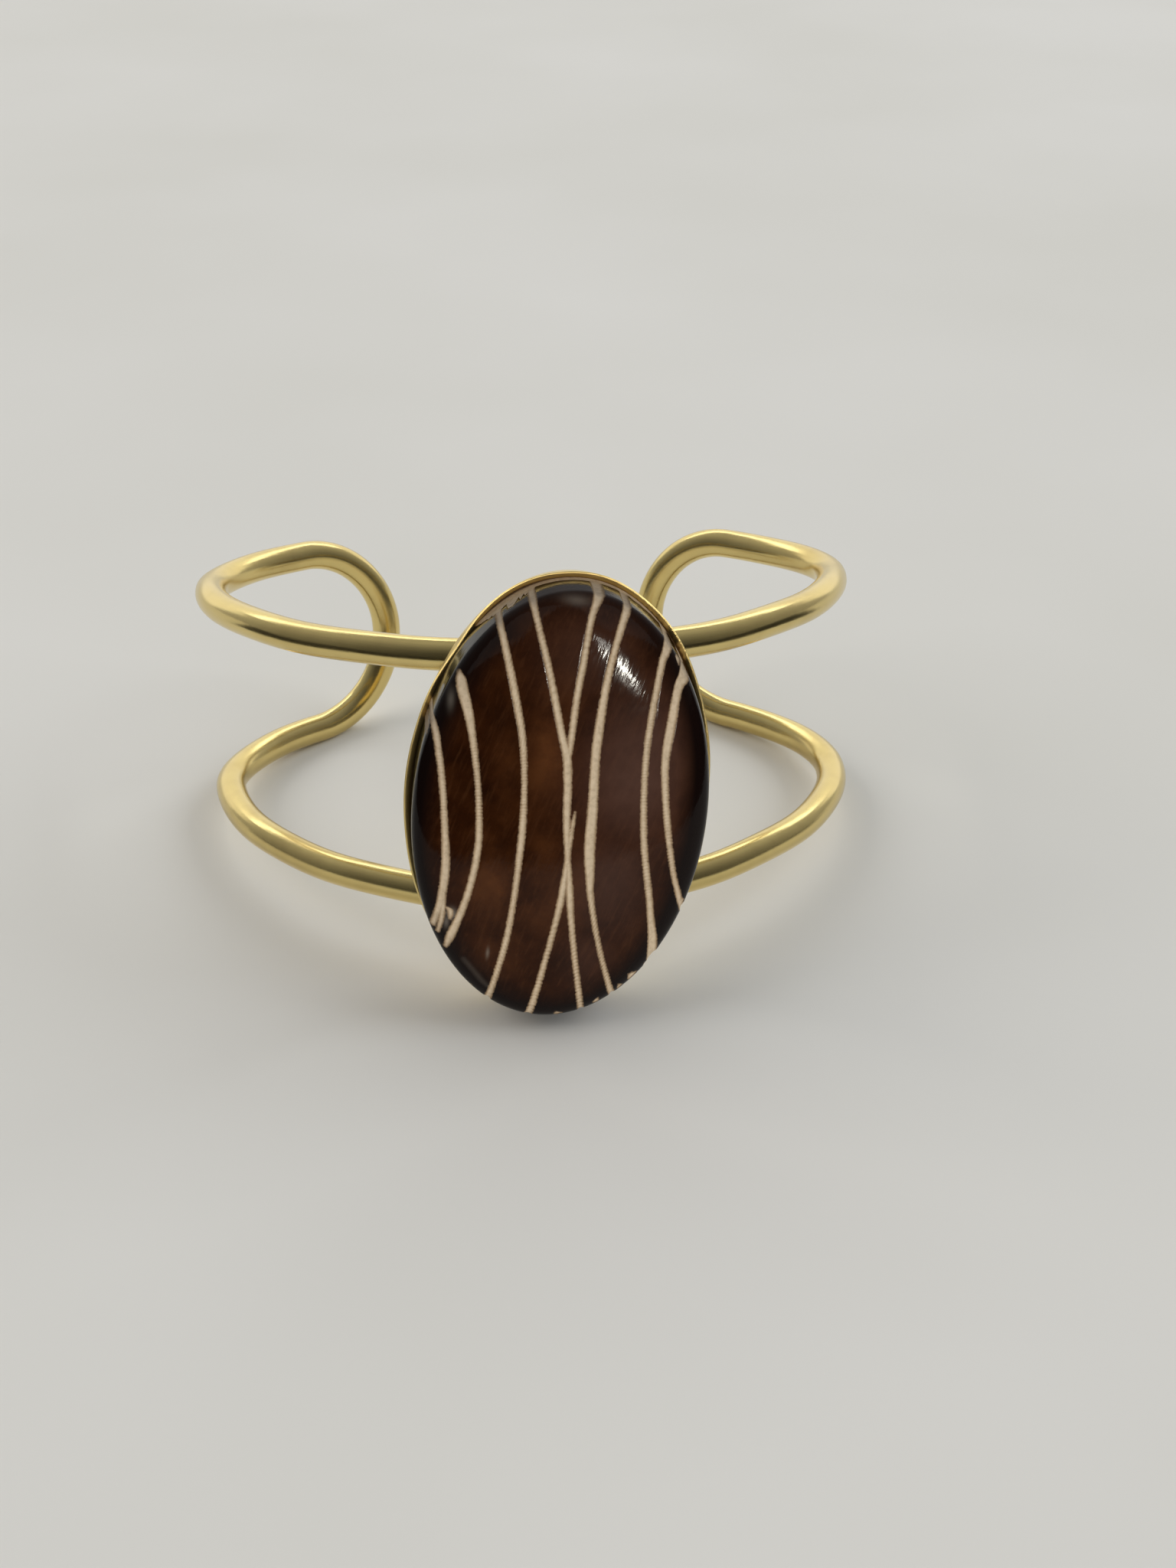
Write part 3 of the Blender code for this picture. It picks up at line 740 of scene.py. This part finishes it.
def pale_table():
    """Off-white, matt, with faint clouds."""
    material = bpy.data.materials.new("pale_table")
    material.use_nodes = True
    shader = material.node_tree.nodes["Principled BSDF"]
    where = add_node(material, "ShaderNodeTexCoord").outputs["Object"]
    colour = shades(material, clouds(material, where, TABLE_LUMPS), TABLE_SHADES)
    material.node_tree.links.new(colour, shader.inputs["Base Color"])
    shader.inputs["Roughness"].default_value = 0.9
    shader.inputs["Specular IOR Level"].default_value = 0.0
    return material


table_mesh = bpy.data.meshes.new("table")
table_turn = np.linspace(0, 2 * math.pi, TABLE_SIDES, endpoint=False)
table_edge = [(TABLE_REACH * math.cos(turn), TABLE_REACH * math.sin(turn), 0.0) for turn in table_turn]
table_mesh.from_pydata(table_edge, [], [tuple(range(TABLE_SIDES))])
table_mesh.materials.append(pale_table())
table = bpy.data.objects.new("table", table_mesh)
bpy.context.scene.collection.objects.link(table)

# Light
# A long soft light high behind draws the bright line along each wire, and a low one lights the wires'
# ends. One at each side lights the setting and the table, one low in front the rim. The stone has two
# soft fills, and two upright strips make its glint. Each is flagged off the rest; the room is dim.
STONE_MIDDLE = Vector((0.0, -0.030, 0.024))
STRIP_LEAN = 0.37


def soft_light(name, direction, distance, width, height, watts, tint, lit, lean=0.0):
    """A flat light that faces the stone from one direction, flagged off all but some pieces."""
    light = bpy.data.lights.new(name, "AREA")
    light.shape = "RECTANGLE"
    light.size, light.size_y = width, height
    light.energy = watts
    light.color = tint
    lamp = bpy.data.objects.new(name, light)
    bpy.context.scene.collection.objects.link(lamp)
    away = Vector(direction).normalized()
    lamp.location = STONE_MIDDLE + away * distance
    facing = away.to_track_quat("Z", "Y").to_matrix() @ Matrix.Rotation(lean, 3, "Z")
    lamp.rotation_euler = facing.to_euler()
    lamp.visible_camera = False
    pieces = bpy.data.collections.new("lit_by_" + name)
    for piece in lit:
        pieces.objects.link(piece)
    lamp.light_linking.receiver_collection = pieces


metal = (cuff_wires, setting_cup, solder)
metal_and_table = (*metal, table)
setting_and_table = (setting_cup, solder, table)
stone_alone = (polished_stone,)
soft_light("behind", (0.0, 0.82, 0.60), distance=3.0, width=4.8, height=0.60, watts=21.6,
           tint=(0.97, 0.99, 1.0), lit=metal_and_table)
soft_light("low_behind", (0.0, 0.98, 0.22), distance=1.1, width=2.6, height=0.60, watts=3.5,
           tint=(1.0, 0.98, 0.94), lit=metal)
soft_light("left_side", (-1.0, 0.10, 0.62), distance=3.0, width=2.7, height=2.7, watts=46.0,
           tint=(1.0, 0.95, 0.87), lit=setting_and_table)
soft_light("right_side", (1.0, 0.10, 0.62), distance=3.0, width=2.7, height=2.7, watts=51.0,
           tint=(0.95, 0.98, 1.0), lit=setting_and_table)
soft_light("low_front", (0.0, -1.0, 0.30), distance=1.0, width=1.4, height=0.50, watts=9.0,
           tint=(1.0, 0.90, 0.80), lit=(setting_cup,))
soft_light("left_fill", (-0.45, -0.62, 0.64), distance=1.0, width=0.7, height=0.7, watts=0.9,
           tint=(1.0, 0.98, 0.95), lit=stone_alone)
soft_light("right_fill", (0.45, -0.62, 0.64), distance=1.0, width=0.7, height=0.7, watts=0.9,
           tint=(0.96, 0.98, 1.0), lit=stone_alone)
soft_light("bright_strip", (0.274, -0.956, 0.098), distance=1.2, width=0.045, height=0.15, watts=5.0,
           tint=(1.0, 0.97, 0.86), lit=stone_alone, lean=STRIP_LEAN)
soft_light("dim_strip", (0.240, -0.956, 0.165), distance=1.2, width=0.03, height=0.24, watts=1.0,
           tint=(1.0, 0.98, 0.90), lit=stone_alone, lean=STRIP_LEAN)

# The dark mat
# A broad arc of dark paper just over the table, in front of the cuff and beside it. It shows only in
# what the metal and the stone reflect, and gives each wire the dark stripe along its front.
MAT_HEIGHT = 0.001
MAT_HOLE = (0.088, 0.092)
MAT_REACH = 2.0
MAT_FROM_TO_DEGREES = (-195, 15)
MAT_SIDES = 60


def dark_paper():
    """Nearly black, matt, with a faint grain."""
    material = bpy.data.materials.new("dark_paper")
    material.use_nodes = True
    shader = material.node_tree.nodes["Principled BSDF"]
    grain = clouds(material, add_node(material, "ShaderNodeTexCoord").outputs["Object"], 40.0)
    colour = shades(material, grain, [(0.3, 0.03), (0.7, 0.05)])
    material.node_tree.links.new(colour, shader.inputs["Base Color"])
    shader.inputs["Roughness"].default_value = 0.9
    return material


mat_turn = np.radians(np.linspace(*MAT_FROM_TO_DEGREES, MAT_SIDES + 1))
mat_points = []
for wide, deep in (MAT_HOLE, (MAT_REACH, MAT_REACH)):
    mat_points += [(wide * math.cos(turn), deep * math.sin(turn), MAT_HEIGHT) for turn in mat_turn]
mat_faces = [(k, k + MAT_SIDES + 1, k + MAT_SIDES + 2, k + 1) for k in range(MAT_SIDES)]
mat_mesh = bpy.data.meshes.new("dark_mat")
mat_mesh.from_pydata(mat_points, [], mat_faces)
mat_mesh.materials.append(dark_paper())
dark_mat = bpy.data.objects.new("dark_mat", mat_mesh)
bpy.context.scene.collection.objects.link(dark_mat)
dark_mat.visible_camera = dark_mat.visible_diffuse = dark_mat.visible_shadow = False

# The room
# The walls are pale behind the cuff and dim in front. The camera itself sees one plain pale backdrop.
BRIGHT_SIDE_OF_THE_ROOM = (0.0, 0.94, 0.34)
ROOM_SHADES = [(0.0, 0.03), (0.10, 0.045), (0.24, 0.07), (0.41, 0.14), (0.61, 0.26), (0.81, 0.42),
               (0.92, 0.34), (1.0, 0.28)]
BACKDROP = (0.56, 0.56, 0.53)
room = bpy.data.worlds.new("pale_room")
room.use_nodes = True
direction = add_node(room, "ShaderNodeTexCoord").outputs["Generated"]
toward_bright = add_node(room, "ShaderNodeVectorMath", {"operation": "DOT_PRODUCT"}, i0=direction,
                         i1=BRIGHT_SIDE_OF_THE_ROOM).outputs["Value"]
brightness = shades(room, reckon(room, "MULTIPLY_ADD", toward_bright, 0.5, 0.5), ROOM_SHADES)
seen = add_node(room, "ShaderNodeLightPath").outputs["Is Camera Ray"]
room.node_tree.links.new(blend_colours(room, seen, brightness, BACKDROP),
                         room.node_tree.nodes["Background"].inputs["Color"])
bpy.context.scene.world = room
bpy.context.scene.view_settings.view_transform = "Standard"

# The camera
# It looks at the cuff from where the photograph was taken, as the cuff is worn, and leans with it.
# Its place, and its lens in millimetres, were fitted to the rim and to the wires that show.
CAMERA_PLACE = Vector((-0.011271, -0.205637, 0.070963))
CAMERA_YAW, CAMERA_PITCH, CAMERA_ROLL = -0.0840, 0.3815, -0.0042
CAMERA_LENS = 48.89
CAMERA_SENSOR = 36.0
ahead = Vector((-math.sin(CAMERA_YAW) * math.cos(CAMERA_PITCH),
                math.cos(CAMERA_YAW) * math.cos(CAMERA_PITCH), -math.sin(CAMERA_PITCH)))
rightward = Vector((math.cos(CAMERA_YAW), math.sin(CAMERA_YAW), 0.0))
upward = rightward.cross(ahead)
turned = Matrix((rightward, upward, -ahead)).transposed().to_4x4() @ Matrix.Rotation(CAMERA_ROLL, 4, "Z")
camera_data = bpy.data.cameras.new("photo_camera")
camera_data.sensor_fit = "AUTO"
camera_data.sensor_width = CAMERA_SENSOR
camera_data.lens = CAMERA_LENS
camera_data.clip_start, camera_data.clip_end = 0.01, 20.0
photo_camera = bpy.data.objects.new("photo_camera", camera_data)
bpy.context.scene.collection.objects.link(photo_camera)
photo_camera.matrix_world = as_it_lies @ Matrix.Translation(CAMERA_PLACE) @ turned
bpy.context.scene.camera = photo_camera
